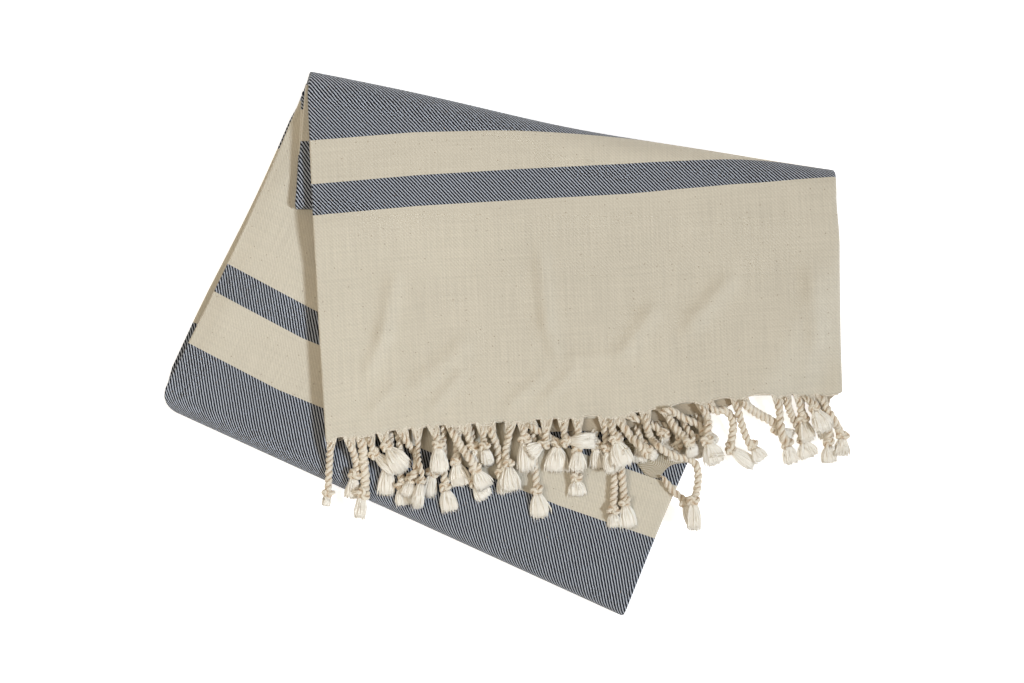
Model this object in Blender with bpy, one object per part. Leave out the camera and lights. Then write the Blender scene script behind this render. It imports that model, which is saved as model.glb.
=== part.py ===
"""A hammam towel, folded and laid flat: one long cloth and the knotted fringe of each of its two ends.

The towel is folded in three along its length, with a centre third outside and two side thirds lying on it.
That strip is folded in half at the towel's middle, folded again at the front edge, and the top of the pile is
turned over along a slanting fold, so that one fringed end lies on top as a flap. The cloth is one section of
three layers that goes back and forth along that route:

    front end, flap, slanting fold, back layer 4, front fold, back layer 1, slanting fold, lower ear,
    middle fold, upper ear, slanting fold, back layer 2, front fold, back layer 3, slanting fold,
    under flap, other end

Metres, +Z up, standing on z = 0 with the centre of its box over the origin. Across the strip is u, along it is
v from the front fold, or w from the slanting fold, and h is the height of a layer in the section of three.
"""

import math

import bmesh
import bpy

# Cloth
THICKNESS = 0.0010
PITCH = 0.0013  # from one layer to the next, which leaves 0.3 mm between them
STRIP_WIDTH = 0.338  # the towel's 0.90 m, folded in three
LEFT_THIRD_END = 0.70  # how far each side third reaches across the strip
RIGHT_THIRD_END = 0.03

# How the folded strip lies
FRONT_CORNER = (-0.2237, -0.0388)  # where the front fold meets the strip's left side, if it were sharp
STRIP_TURN = math.radians(24.5)  # the strip's length leans to the right of +Y
FOLD_TURN = math.radians(11.2)  # the slanting fold falls to the right of +X
BEND_START = 0.2197  # from the front fold to the slanting fold's axis, along the left side
FLAP_LEFT, FLAP_RIGHT = 0.2223, 0.1258  # the flap's length along its left and right sides
EAR_LEFT, EAR_RIGHT = 0.0755, 0.0105  # from the slanting fold's axis to the middle fold, at each side
UNDER_FLAP_MORE = 0.0055  # the under flap shows this much past the flap

# Unevenness
LEFT_BOW, RIGHT_BOW = 0.0040, 0.0075  # the strip narrows between its folds
FRONT_TAPER = 0.0088  # and on the right towards the front fold
CORNER_RADIUS = 0.0140  # the front fold's left corner is worn round
FOLD_DENT, DENT_PLACE, DENT_WIDTH = 0.22, 0.50, 0.22  # the slanting fold is pressed in near its middle
FOLD_SLIP = 0.40  # how much of the slant the layers take along the fold as they go round it
EAR_LEAN = 0.0090  # the ear leans out to the left of the flap
HEM_WAVES = (  # (share across the strip, how much longer the cloth is there)
    (0.00, 0.0000),
    (0.20, -0.0023),
    (0.38, 0.0000),
    (0.57, 0.0024),
    (0.70, -0.0018),
    (0.84, -0.0023),
    (1.00, 0.0000),
)

# Drape
MIDDLE_FALL_START, MIDDLE_FALL_LENGTH = 0.003, 0.035  # the flap comes down past the ear's fold
SIDE_FALL_START, SIDE_FALL_LENGTH = 0.018, 0.042  # and past the right side of the pile
FLAP_LIES_LOOSE = 0.0010  # the flap's extra height over the under flap

# Fringe
BAND_GAP, BAND_WIDTH = 0.0004, 0.0040
TASSELS_AT_AN_END = 37
ROOT_WIDTH = 0.0044
TASSEL_SPREAD = 0.05  # sideways, for each metre from the hem, at the flap's sides
TASSEL_GAP = 0.0003  # under a tassel, on the cloth
TASSEL_TIER = 0.0072  # from one tier of tassels to the next
UNEVEN_LENGTH = 0.0035
TASSEL_RINGS = (  # (share of the length, half width, half height)
    (0.16, 0.0023, 0.0020),
    (0.60, 0.0023, 0.0020),
    (0.69, 0.0038, 0.0029),
    (0.78, 0.0026, 0.0022),
    (1.00, 0.0036, 0.0017),
)
FRONT_TASSELS = (  # (share across, length from the band)
    (0.00, 0.039),
    (0.25, 0.050),
    (0.45, 0.054),
    (0.70, 0.042),
    (1.00, 0.039),
)
UNDER_TASSELS = (  # the same for the towel's other end
    (0.00, 0.033),
    (0.30, 0.048),
    (0.60, 0.056),
    (0.80, 0.043),
    (1.00, 0.033),
)

# Fineness of the surfaces
CLOTH_COLUMNS = (0.03, 0.20, 0.38, 0.57, 0.70, 0.77, 0.84, 0.92)
BACK_ROWS = (0.0, 0.014, 0.033, 0.30, 0.65, 1.0)
FALL_ROWS = (0.0, 0.22, 0.45, 0.70, 1.0)
FLAP_ROWS = (0.25, 0.50, 0.75, 0.93)
EAR_ROWS = (0.0, 0.5, 1.0)
FOLD_STEPS, MIDDLE_FOLD_STEPS, SIDE_FOLD_STEPS = 6, 4, 4

# Worked out from the sizes above
ACROSS = (math.cos(STRIP_TURN), -math.sin(STRIP_TURN))
ALONG = (math.sin(STRIP_TURN), math.cos(STRIP_TURN))
FOLD_LINE = (math.cos(FOLD_TURN), -math.sin(FOLD_TURN))
FOLD_OUT = (math.sin(FOLD_TURN), math.cos(FOLD_TURN))
SLANT = math.tan(STRIP_TURN - FOLD_TURN)
FLAP_DOWN = (
    math.sin(2 * (STRIP_TURN - FOLD_TURN) - STRIP_TURN),
    -math.cos(2 * (STRIP_TURN - FOLD_TURN) - STRIP_TURN),
)
BACK_LAYERS, EAR_LAYERS = 12, 6
FRONT_AXIS_HEIGHT = (BACK_LAYERS - 1) / 2 * PITCH
FRONT_AXIS = FRONT_AXIS_HEIGHT + THICKNESS / 2
BEND_AXIS_HEIGHT = (BACK_LAYERS - 0.5) * PITCH
EAR_AXIS_HEIGHT = (BACK_LAYERS + (EAR_LAYERS - 1) / 2) * PITCH
EAR_FOLD_RADIUS = (EAR_LAYERS - 1) / 2 * PITCH
PILE_TOP = (BACK_LAYERS - 1) * PITCH + THICKNESS


def between(table, share):
    """The value at a share across the strip, read along straight lines between a table's rows."""
    if share <= table[0][0]:
        return table[0][1]
    for (low, first), (high, last) in zip(table, table[1:]):
        if share <= high:
            return first + (last - first) * (share - low) / (high - low)
    return table[-1][1]


def eased(share):
    share = min(max(share, 0.0), 1.0)
    return share * share * (3 - 2 * share)


def bend_line(u):
    """Where the slanting fold's axis crosses the strip, from the front fold."""
    return BEND_START + u * SLANT


def side_insets(v, bend):
    """How far the strip's left and right sides lie inside its full width."""
    share = min(max(v / bend, 0.0), 1.0)
    left = LEFT_BOW * math.sin(0.8 * math.pi * share)
    right = FRONT_TAPER * (1 - share) + RIGHT_BOW * math.sin(math.pi * share)
    if v < CORNER_RADIUS:
        inside = CORNER_RADIUS - max(v, 0.0)
        left += CORNER_RADIUS - math.sqrt(CORNER_RADIUS**2 - inside**2)
    return left, right


def on_pile(u, v, drift=0.0):
    """The plan position of a point of the strip before the slanting fold."""
    bend = bend_line(u)
    left, right = side_insets(v, bend)
    u = left + u * (STRIP_WIDTH - left - right) / STRIP_WIDTH
    u += drift * math.sin(math.pi * min(max(v / bend, 0.0), 1.0))
    return tuple(FRONT_CORNER[k] + u * ACROSS[k] + v * ALONG[k] for k in (0, 1))


def past_side(x, y):
    """How far a plan position is past the pile's right side."""
    x, y = x - FRONT_CORNER[0], y - FRONT_CORNER[1]
    u, v = x * ACROSS[0] + y * ACROSS[1], x * ALONG[0] + y * ALONG[1]
    return u - STRIP_WIDTH + side_insets(v, bend_line(STRIP_WIDTH))[1]


def past_front(x, y):
    """How far a plan position is past the front fold."""
    return -(x - FRONT_CORNER[0]) * ALONG[0] - (y - FRONT_CORNER[1]) * ALONG[1]


def flap_length(u):
    share = u / STRIP_WIDTH
    return FLAP_LEFT + (FLAP_RIGHT - FLAP_LEFT) * share + between(HEM_WAVES, share)


def ear_length(u):
    """From the slanting fold's axis to the middle fold, square across the turn of the right side."""
    return EAR_LEFT + (EAR_RIGHT - EAR_LEFT) * min(u / STRIP_WIDTH, 0.99)


def ear_axis(u):
    """From the slanting fold's axis to the middle fold's."""
    return ear_length(u) - EAR_FOLD_RADIUS - THICKNESS / 2


def over_fold(u, w, run):
    """The plan position of a point past the slanting fold: w from the fold's axis."""
    base = on_pile(u, bend_line(u))
    along = run["slip"] - run["lean"] * min(w / ear_axis(u), 1.0)
    x = base[0] + FOLD_LINE[0] * along + FLAP_DOWN[0] * w
    y = base[1] + FOLD_LINE[1] * along + FLAP_DOWN[1] * w
    return x, y


def fall_at(u, w, run):
    """How far the flap has come down at a point."""
    past_middle = (w - ear_length(u) - MIDDLE_FALL_START) / MIDDLE_FALL_LENGTH
    past_right = (past_side(*over_fold(u, w, run)) - SIDE_FALL_START) / SIDE_FALL_LENGTH
    middle_fall = EAR_LAYERS * PITCH - run["loose"]
    return middle_fall * eased(past_middle) + BACK_LAYERS * PITCH * eased(past_right)


def fall(u, w, run):
    """fall_at, read along straight lines between the cloth's columns, so that all layers keep their gaps."""
    if not run["falls"]:
        return 0.0
    share = min(max(u / STRIP_WIDTH, 0.0), 1.0)
    columns = (0.0, *CLOTH_COLUMNS, 1.0)
    for low, high in zip(columns, columns[1:]):
        if share <= high:
            part = (share - low) / (high - low)
            first, last = (fall_at(c * STRIP_WIDTH, w, run) for c in (low, high))
            return first + (last - first) * part
    return 0.0


def run_of(level, thirds, drift=0.0, slip=0.0, lean=0.0, falls=False, loose=0.0, longer=0.0):
    """One run of the strip: the height of its centre third in layers, whether its side thirds lie above (1) or
    below (-1) it, its sideways drift in the pile, and how it leaves the slanting fold and falls past the ear."""
    return {
        "level": level * PITCH + THICKNESS / 2,
        "thirds": thirds,
        "drift": drift,
        "slip": slip * FOLD_SLIP * math.pi * SLANT * PITCH,
        "lean": lean,
        "falls": falls,
        "loose": loose,
        "longer": longer,
    }


FLAP = run_of(23, -1, slip=11.5, falls=True, loose=FLAP_LIES_LOOSE)
UNDER_FLAP = run_of(18, 1, slip=11.5, falls=True, longer=UNDER_FLAP_MORE)
UPPER_EAR = run_of(17, -1, slip=5.5, lean=EAR_LEAN)
LOWER_EAR = run_of(12, 1, lean=EAR_LEAN - UPPER_EAR["slip"])
BACK_1 = run_of(11, -1)
BACK_2 = run_of(6, 1)
BACK_3 = run_of(5, -1, drift=-0.0020)
BACK_4 = run_of(0, 1, drift=-0.0042)


def back_station(share, run):
    """A row across the strip in the pile, at a share of the way from the front fold to the slanting one."""

    def place(u, h):
        v = FRONT_AXIS + share * (bend_line(u) - FRONT_AXIS)
        x, y = on_pile(u, v, run["drift"])
        return x, y, run["level"] + run["thirds"] * h

    return place


def front_station(angle, lower):
    """A row round the front fold, angle 0 underneath and pi on top."""
    grows = -lower["thirds"]

    def place(u, h):
        radius = abs(lower["level"] - THICKNESS / 2 - FRONT_AXIS_HEIGHT) + grows * h
        x, y = on_pile(u, FRONT_AXIS - radius * math.sin(angle))
        return x, y, FRONT_AXIS_HEIGHT + THICKNESS / 2 - radius * math.cos(angle)

    return place


def bend_station(angle, lower, upper):
    """A row round the slanting fold, angle 0 in the pile and pi in the flap."""

    def place(u, h):
        radius = BEND_AXIS_HEIGHT - (lower["level"] - THICKNESS / 2) - lower["thirds"] * h
        dent = 1 - FOLD_DENT * math.exp(-(((u / STRIP_WIDTH - DENT_PLACE) / DENT_WIDTH) ** 2))
        out = radius * math.sin(angle) * dent
        slip = upper["slip"] * angle / math.pi
        x, y = on_pile(u, bend_line(u))
        x += FOLD_OUT[0] * out + FOLD_LINE[0] * slip
        y += FOLD_OUT[1] * out + FOLD_LINE[1] * slip
        return x, y, BEND_AXIS_HEIGHT + THICKNESS / 2 - radius * math.cos(angle)

    return place


def flap_station(reach, run):
    """A row across a flap or ear, at reach(u) from the slanting fold's axis."""

    def place(u, h):
        w = reach(u)
        x, y = over_fold(u, w, run)
        return x, y, run["level"] + run["thirds"] * h - fall(u, w, run)

    return place


def ear_fold_station(angle):
    """A row round the middle fold, angle 0 on the lower ear and pi on the upper one."""

    def place(u, h):
        radius = EAR_FOLD_RADIUS - h
        x, y = over_fold(u, ear_axis(u) + radius * math.sin(angle), UPPER_EAR)
        return x, y, EAR_AXIS_HEIGHT + THICKNESS / 2 - radius * math.cos(angle)

    return place


def turns(steps, start, end):
    """The angles inside a fold, without its two ends."""
    return [start + (end - start) * k / steps for k in range(1, steps)]


def flap_stations(run):
    """The rows of a flap from the slanting fold to its hem."""

    def past_ear(share):
        return lambda u: ear_length(u) + MIDDLE_FALL_START + share * MIDDLE_FALL_LENGTH

    def to_hem(share):
        start = past_ear(1.0)
        return lambda u: start(u) + share * (flap_length(u) - start(u))

    reaches = [lambda u: 0.0]
    reaches += [past_ear(share) for share in FALL_ROWS]
    reaches += [to_hem(share) for share in FLAP_ROWS]
    reaches += [lambda u: flap_length(u) + run["longer"]]
    return [flap_station(reach, run) for reach in reaches]


def ear_stations(run):
    def reach_at(share):
        return lambda u: share * ear_axis(u)

    return [flap_station(reach_at(share), run) for share in EAR_ROWS]


def route():
    """All rows of the cloth, from the front end to the other, each with the way its quads are split."""
    fold = turns(FOLD_STEPS, 0.0, math.pi)
    middle_fold = turns(MIDDLE_FOLD_STEPS, 0.0, math.pi)
    stations = []

    def add(rows, split):
        stations.extend((place, split) for place in rows)

    def pile(run):
        return [back_station(share, run) for share in BACK_ROWS]

    add(reversed(flap_stations(FLAP)), -1)
    add([bend_station(angle, BACK_4, FLAP) for angle in reversed(fold)], -1)
    add(reversed(pile(BACK_4)), 1)
    add([front_station(angle, BACK_4) for angle in fold], 1)
    add(pile(BACK_1), -1)
    add([bend_station(angle, BACK_1, LOWER_EAR) for angle in fold], 1)
    add(ear_stations(LOWER_EAR), 1)
    add([ear_fold_station(angle) for angle in middle_fold], 1)
    add(reversed(ear_stations(UPPER_EAR)), -1)
    add([bend_station(angle, BACK_2, UPPER_EAR) for angle in reversed(fold)], -1)
    add(reversed(pile(BACK_2)), 1)
    add([front_station(angle, BACK_3) for angle in reversed(fold)], 1)
    add(pile(BACK_3), -1)
    add([bend_station(angle, BACK_3, UNDER_FLAP) for angle in fold], 1)
    add(flap_stations(UNDER_FLAP), 1)
    return stations


def section(columns_of):
    """The cloth folded in three, seen from its end: (u, h, outward u, outward h) for each point of its middle
    line, from the left third's selvedge to the right third's. columns_of gives a third's columns as shares."""
    left_axis = (PITCH / 2 + THICKNESS / 2, PITCH / 2)
    right_axis = (STRIP_WIDTH - PITCH - THICKNESS / 2, PITCH)
    points = []
    for share in sorted(columns_of("left"), reverse=True):
        points.append((share * STRIP_WIDTH, PITCH, 0.0, 1.0))
    for k in range(SIDE_FOLD_STEPS + 1):
        angle = math.pi / 2 + math.pi * k / SIDE_FOLD_STEPS
        out = (math.cos(angle), math.sin(angle))
        points.append((left_axis[0] + PITCH / 2 * out[0], left_axis[1] + PITCH / 2 * out[1], *out))
    for share in sorted(columns_of("centre")):
        points.append((share * STRIP_WIDTH, 0.0, 0.0, -1.0))
    for k in range(SIDE_FOLD_STEPS + 1):
        angle = -math.pi / 2 + math.pi * k / SIDE_FOLD_STEPS
        out = (math.cos(angle), math.sin(angle))
        points.append((right_axis[0] + PITCH * out[0], right_axis[1] + PITCH * out[1], *out))
    for share in sorted(columns_of("right"), reverse=True):
        points.append((share * STRIP_WIDTH, 2 * PITCH, 0.0, 1.0))
    return points


def cloth_columns(third):
    if third == "left":
        return [c for c in CLOTH_COLUMNS if CLOTH_COLUMNS[0] < c <= LEFT_THIRD_END]
    if third == "right":
        return [c for c in CLOTH_COLUMNS if c >= RIGHT_THIRD_END]
    return [c for c in CLOTH_COLUMNS if c > CLOTH_COLUMNS[0]]


def swept(bm, points, stations, open_ends=()):
    """Sweeps the section along its rows into a closed skin and gives its rows of (outer, inner) vertices.
    Each row's split makes the quads of all layers there part along one diagonal, so that their gaps stay even.
    open_ends lists the columns of the last row that are left without an end face."""
    half = THICKNESS / 2
    rows = []
    for place, _ in stations:
        outer = [bm.verts.new(place(u + half * a, h + half * b)) for u, h, a, b in points]
        inner = [bm.verts.new(place(u - half * a, h - half * b)) for u, h, a, b in points]
        rows.append((outer, inner))
    for (_, split), first, last in zip(stations, rows, rows[1:]):
        for side in (0, 1):
            for i in range(len(points) - 1):
                corners = (first[side][i], first[side][i + 1], last[side][i + 1], last[side][i])
                if (points[i + 1][0] - points[i][0]) * split < 0:
                    corners = corners[1:] + corners[:1]
                bm.faces.new((corners[0], corners[1], corners[2]))
                bm.faces.new((corners[0], corners[2], corners[3]))
        for i in (0, -1):
            bm.faces.new((first[0][i], first[1][i], last[1][i], last[0][i]))
    for (outer, inner), left_open in ((rows[0], ()), (rows[-1], open_ends)):
        for i in range(len(points) - 1):
            if i not in left_open:
                bm.faces.new((outer[i], outer[i + 1], inner[i + 1], inner[i]))
    return rows


def finish(bm, name, material):
    """Turns the faces outwards and makes the node's object."""
    bmesh.ops.recalc_face_normals(bm, faces=bm.faces)
    mesh = bpy.data.meshes.new(name)
    bm.to_mesh(mesh)
    bm.free()
    mesh.materials.append(material)
    piece = bpy.data.objects.new(name, mesh)
    bpy.context.scene.collection.objects.link(piece)
    mesh.shade_smooth()
    mesh.set_sharp_from_angle(angle=math.radians(40))
    return piece


def material_of(name, colour, roughness):
    material = bpy.data.materials.new(name)
    material.use_nodes = True
    shader = material.node_tree.nodes["Principled BSDF"]
    shader.inputs["Base Color"].default_value = (*colour, 1.0)
    shader.inputs["Roughness"].default_value = roughness
    shader.inputs["Metallic"].default_value = 0.0
    return material


def towel_cloth():
    """The cloth, hems included, as one solid."""
    bm = bmesh.new()
    swept(bm, section(cloth_columns), route())
    return finish(bm, "towel_cloth", material_of("cotton_twill", (0.62, 0.57, 0.47), 0.9))


def lanes():
    """(third, share across) for each tassel of an end. The thirds take turns wherever they lie."""
    made = []
    for k in range(TASSELS_AT_AN_END):
        share = (k + 0.5) / TASSELS_AT_AN_END
        thirds = ["centre", "right"]
        if share < LEFT_THIRD_END - 0.01:
            thirds.append("left")
        if share < RIGHT_THIRD_END + 0.01:
            thirds.remove("right")
        made.append((thirds[k % len(thirds)], share))
    return made


def support(x, y):
    """The height that a tassel lies on: the pile's top, easing down to the floor past its edges."""
    off_side = eased((past_side(x, y) - SIDE_FALL_START) / SIDE_FALL_LENGTH)
    off_front = eased((past_front(x, y) - SIDE_FALL_START) / SIDE_FALL_LENGTH)
    return PILE_TOP * (1 - off_side) * (1 - off_front)


def tassel(bm, corners, root, share, length, run, tier):
    """A knotted cord from four corners of the band: its rings run out along the flap, then fall with what
    they lie on."""
    u = share * STRIP_WIDTH
    last = corners
    for along, wide, high in TASSEL_RINGS:
        w = root + along * length
        x, y = over_fold(u, w, run)
        x += TASSEL_SPREAD * (share - 0.5) * 2 * along * length
        under = support(x, y)
        bottom = under + TASSEL_GAP * under / PILE_TOP + tier * TASSEL_TIER
        ring = [
            bm.verts.new((x + a * wide, y, bottom + high + b * high))
            for a, b in ((-1, 1), (1, 1), (1, -1), (-1, -1))
        ]
        for i in range(4):
            bm.faces.new((last[i], last[(i + 1) % 4], ring[(i + 1) % 4], ring[i]))
        last = ring
    bm.faces.new(last)


def fringe(name, run, lengths, tier, material):
    """One end's fringe: a narrow band parted from the hem, folded in three as the cloth is, and its tassels."""
    places = lanes()
    half_root = ROOT_WIDTH / STRIP_WIDTH / 2

    def band_columns(third):
        roots = [share for of_third, share in places if of_third == third]
        edges = [share + side * half_root for share in roots for side in (-1, 1)]
        bends = [c for c in cloth_columns(third) if all(abs(c - share) > 1.2 * half_root for share in roots)]
        return edges + bends

    points = section(band_columns)

    def hem(u):
        return flap_length(u) + run["longer"]

    def band_row(more):
        return flap_station(lambda u: hem(u) + more, run), 1

    heights = {"left": PITCH, "centre": 0.0, "right": 2 * PITCH}
    roots = {}
    for third, share in places:
        low = (share - half_root) * STRIP_WIDTH
        high = (share + half_root) * STRIP_WIDTH
        for i, (first, last) in enumerate(zip(points, points[1:])):
            level = abs(first[1] - heights[third]) + abs(last[1] - heights[third]) < 1e-9
            if level and abs(min(first[0], last[0]) - low) + abs(max(first[0], last[0]) - high) < 1e-7:
                roots[i] = (third, share)

    bm = bmesh.new()
    stations = [band_row(BAND_GAP), band_row(BAND_GAP + BAND_WIDTH)]
    rows = swept(bm, points, stations, open_ends=roots)
    outer, inner = rows[-1]
    for k, (i, (third, share)) in enumerate(sorted(roots.items(), key=lambda item: item[1][1])):
        bottom, top = sorted((outer[i : i + 2], inner[i : i + 2]), key=lambda pair: pair[0].co.z)
        top, bottom = sorted(top, key=lambda v: v.co.x), sorted(bottom, key=lambda v: -v.co.x)
        length = between(lengths, share) + UNEVEN_LENGTH * math.sin(2.4 * k)
        root = hem(share * STRIP_WIDTH) + BAND_GAP + BAND_WIDTH
        tassel(bm, (*top, *bottom), root, share, length, run, tier)
    return finish(bm, name, material)


def main():
    for old in list(bpy.data.objects):
        bpy.data.objects.remove(old)
    towel_cloth()
    cord = material_of("cotton_cord", (0.72, 0.66, 0.54), 0.85)
    fringe("fringe_under", UNDER_FLAP, UNDER_TASSELS, 0, cord)
    fringe("fringe_front", FLAP, FRONT_TASSELS, 1, cord)


main()
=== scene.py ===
import math
import random

import bmesh
import bpy
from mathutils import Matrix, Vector


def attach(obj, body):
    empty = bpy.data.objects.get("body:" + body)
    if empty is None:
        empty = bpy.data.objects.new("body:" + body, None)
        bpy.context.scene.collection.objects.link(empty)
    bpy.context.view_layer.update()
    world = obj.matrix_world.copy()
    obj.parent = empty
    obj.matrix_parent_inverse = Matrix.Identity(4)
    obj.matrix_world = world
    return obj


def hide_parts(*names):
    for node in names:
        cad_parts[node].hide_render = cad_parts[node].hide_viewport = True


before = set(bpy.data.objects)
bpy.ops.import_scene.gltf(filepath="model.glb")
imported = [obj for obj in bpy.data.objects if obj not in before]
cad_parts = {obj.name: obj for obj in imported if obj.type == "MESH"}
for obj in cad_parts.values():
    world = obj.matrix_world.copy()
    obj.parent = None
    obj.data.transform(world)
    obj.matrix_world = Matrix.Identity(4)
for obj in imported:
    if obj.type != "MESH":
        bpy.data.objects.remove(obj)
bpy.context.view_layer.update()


# ---------------------------------------------------------------------------------------------------------
# The cloth: one length of undyed cotton twill with dark blue stripes woven across it. It is folded in three
# along its length, then in half at its middle stripe, then at the front edge, and the top of the pile is
# turned over along a slanting fold, so that the cloth's first end lies on top as a flap.

THICKNESS = 0.0009
PITCH = 0.0013  # from one layer to the next
STRIP_WIDTH = 0.338  # the cloth's 0.91 m, folded in three
LEFT_THIRD_START, LEFT_THIRD_END = 0.03, 0.70  # where each side third lies, as shares across the strip
RIGHT_THIRD_START, RIGHT_THIRD_END = 0.96, 0.03
FIRST_COLUMN, LAST_COLUMN = 0.004, 0.985  # and the flat part of the centre third

FRONT_CORNER = (-0.2237, -0.0388)  # where the front fold meets the strip's left side, if it were sharp
STRIP_TURN = math.radians(24.5)
FOLD_TURN = math.radians(11.2)
BEND_START = 0.2197  # from the front fold to the slanting fold's axis, along the left side
FLAP_LEFT, FLAP_RIGHT = 0.2223, 0.1258
EAR_LEFT, EAR_RIGHT = 0.0755, 0.0105
UNDER_FLAP_MORE = (  # (share across the strip, how far the under flap reaches past the flap)
    (0.000, -0.0020),
    (0.400, -0.0010),
    (0.430, 0.0085),
    (0.600, 0.0085),
    (0.775, 0.0065),
    (0.790, -0.0010),
    (0.940, -0.0010),
    (0.950, 0.0015),
    (0.973, 0.0135),
    (0.979, -0.0010),
)

SIDE_PRESS, PRESS_WIDTH = 0.14, 0.009  # how far the pile's left side is pressed down, and how wide
LEFT_BOW, RIGHT_BOW = 0.0040, 0.0075
FRONT_TAPER = 0.0088
CORNER_RADIUS = 0.0140
FOLD_DENT, DENT_PLACE, DENT_WIDTH = 0.22, 0.50, 0.22
FOLD_SLIP = 0.40
EAR_LEAN = 0.0090
FLAP_LEFT_IN = 0.0034  # how far the flap's left side leans in at the hem
FLAP_RIGHT_TUCK, TUCK_LENGTH = 0.0012, 0.030  # how far its right side is drawn in at the slanting fold
FOLD_TUCK, FOLD_LIFT = 0.0019, 0.17  # how far the fold's right end is drawn in, and how much fuller it is
HEM_WAVES = (  # (share across the strip, how much longer the cloth is there)
    (0.000, -0.0010),
    (0.020, 0.0000),
    (0.200, -0.0023),
    (0.380, 0.0000),
    (0.570, 0.0024),
    (0.700, -0.0018),
    (0.840, -0.0023),
    (0.970, -0.0006),
    (0.992, -0.0008),
    (1.000, -0.0024),
)
HEM_GATHERS = (  # shares across the strip where the warp ends are gathered into a cord
    0.010, 0.046, 0.070, 0.085, 0.112, 0.148, 0.180, 0.210, 0.244, 0.258, 0.272, 0.304, 0.319, 0.361,
    0.384, 0.396, 0.430, 0.462, 0.490, 0.540, 0.553, 0.567, 0.585, 0.619, 0.646, 0.658, 0.724, 0.737,
    0.793, 0.803, 0.873, 0.888, 0.915, 0.930, 0.940, 0.957,
)
HEM_ARCH, DEEPEST_ARCH = 0.27, 0.0034  # the edge arches up between gathers, by this share of their distance
MIDDLE_FALL_START, MIDDLE_FALL_LENGTH = 0.003, 0.035
SIDE_FALL_START, SIDE_FALL_LENGTH = 0.018, 0.042
FLAP_LIES_LOOSE = 0.0016
LEFT_PUFF, PUFF_WIDTH = 0.0026, 0.030  # how much higher its folded left side stands
LOWEST_DRIFT = (  # (share of the way from the front fold, how far the lowest run has drifted to the left)
    (0.00, 0.0000),
    (0.12, 0.0032),
    (0.32, 0.0046),
    (0.48, 0.0038),
    (0.64, 0.0026),
    (0.80, 0.0021),
    (0.94, 0.0019),
    (1.00, 0.0000),
)

CREASES_START = 0.012  # from the slanting fold
FLAP_CREASES = (  # (from x, from y, to x, to y, half width, height) in the flap
    (-0.104, 0.064, -0.066, 0.048, 0.0150, 0.0009),
    (-0.072, 0.036, -0.078, 0.006, 0.0050, 0.0016),
    (-0.078, 0.006, -0.086, -0.014, 0.0045, 0.0014),
    (-0.084, -0.042, -0.072, -0.028, 0.0035, 0.0010),
    (-0.030, -0.004, -0.054, -0.024, 0.0060, 0.0014),
    (-0.044, -0.038, -0.030, -0.022, 0.0035, 0.0011),
    (0.023, 0.052, 0.026, 0.016, 0.0050, 0.0016),
    (0.026, 0.016, 0.031, -0.004, 0.0045, 0.0011),
    (0.004, -0.038, 0.022, -0.022, 0.0035, 0.0011),
    (0.027, -0.034, 0.042, -0.018, 0.0035, 0.0011),
    (0.044, -0.009, 0.070, -0.007, 0.0040, 0.0012),
    (0.036, 0.124, 0.075, 0.118, 0.0060, 0.0013),
    (0.078, -0.002, 0.092, 0.018, 0.0055, 0.0017),
    (0.092, 0.018, 0.118, 0.019, 0.0055, 0.0010),
    (0.121, 0.015, 0.139, 0.036, 0.0060, 0.0023),
    (0.196, 0.040, 0.199, 0.006, 0.0060, 0.0018),
    (0.199, 0.006, 0.193, -0.020, 0.0060, 0.0014),
)
BACK_CREASES = (  # the same in the run under the ear, where it shows
    (-0.170, 0.075, -0.150, 0.100, 0.0100, 0.0012),
    (-0.185, 0.020, -0.150, 0.030, 0.0110, 0.0010),
    (0.060, -0.120, 0.085, -0.105, 0.0090, 0.0012),
)

ACROSS = (math.cos(STRIP_TURN), -math.sin(STRIP_TURN))
ALONG = (math.sin(STRIP_TURN), math.cos(STRIP_TURN))
FOLD_LINE = (math.cos(FOLD_TURN), -math.sin(FOLD_TURN))
FOLD_OUT = (math.sin(FOLD_TURN), math.cos(FOLD_TURN))
SLANT = math.tan(STRIP_TURN - FOLD_TURN)
FLAP_TURN = 2 * (STRIP_TURN - FOLD_TURN) - STRIP_TURN
FLAP_DOWN = (math.sin(FLAP_TURN), -math.cos(FLAP_TURN))
BACK_LAYERS, EAR_LAYERS = 12, 6
MID_SHEET = 0.0005  # the height of a layer's middle over its underside in the solid
FRONT_AXIS_HEIGHT = (BACK_LAYERS - 1) / 2 * PITCH
FRONT_AXIS = FRONT_AXIS_HEIGHT + MID_SHEET
BEND_AXIS_HEIGHT = (BACK_LAYERS - 0.5) * PITCH
EAR_AXIS_HEIGHT = (BACK_LAYERS + (EAR_LAYERS - 1) / 2) * PITCH
EAR_FOLD_RADIUS = (EAR_LAYERS - 1) / 2 * PITCH
PILE_TOP = (BACK_LAYERS - 1) * PITCH + 2 * MID_SHEET


def between(table, share):
    """The value at a share of the way across or along, on straight lines between a table's rows."""
    if share <= table[0][0]:
        return table[0][1]
    for (low, first), (high, last) in zip(table, table[1:]):
        if share <= high:
            return first + (last - first) * (share - low) / (high - low)
    return table[-1][1]


def eased(share):
    share = min(max(share, 0.0), 1.0)
    return share * share * (3 - 2 * share)


def bend_line(u):
    """Where the slanting fold's axis crosses the strip, from the front fold."""
    return BEND_START + u * SLANT


def side_insets(v, bend):
    """How far the strip's left and right sides lie inside its full width."""
    share = min(max(v / bend, 0.0), 1.0)
    left = LEFT_BOW * math.sin(0.8 * math.pi * share)
    right = FRONT_TAPER * (1 - share) + RIGHT_BOW * math.sin(math.pi * share)
    if v < CORNER_RADIUS:
        inside = CORNER_RADIUS - max(v, 0.0)
        left += CORNER_RADIUS - math.sqrt(CORNER_RADIUS**2 - inside**2)
    return left, right


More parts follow.
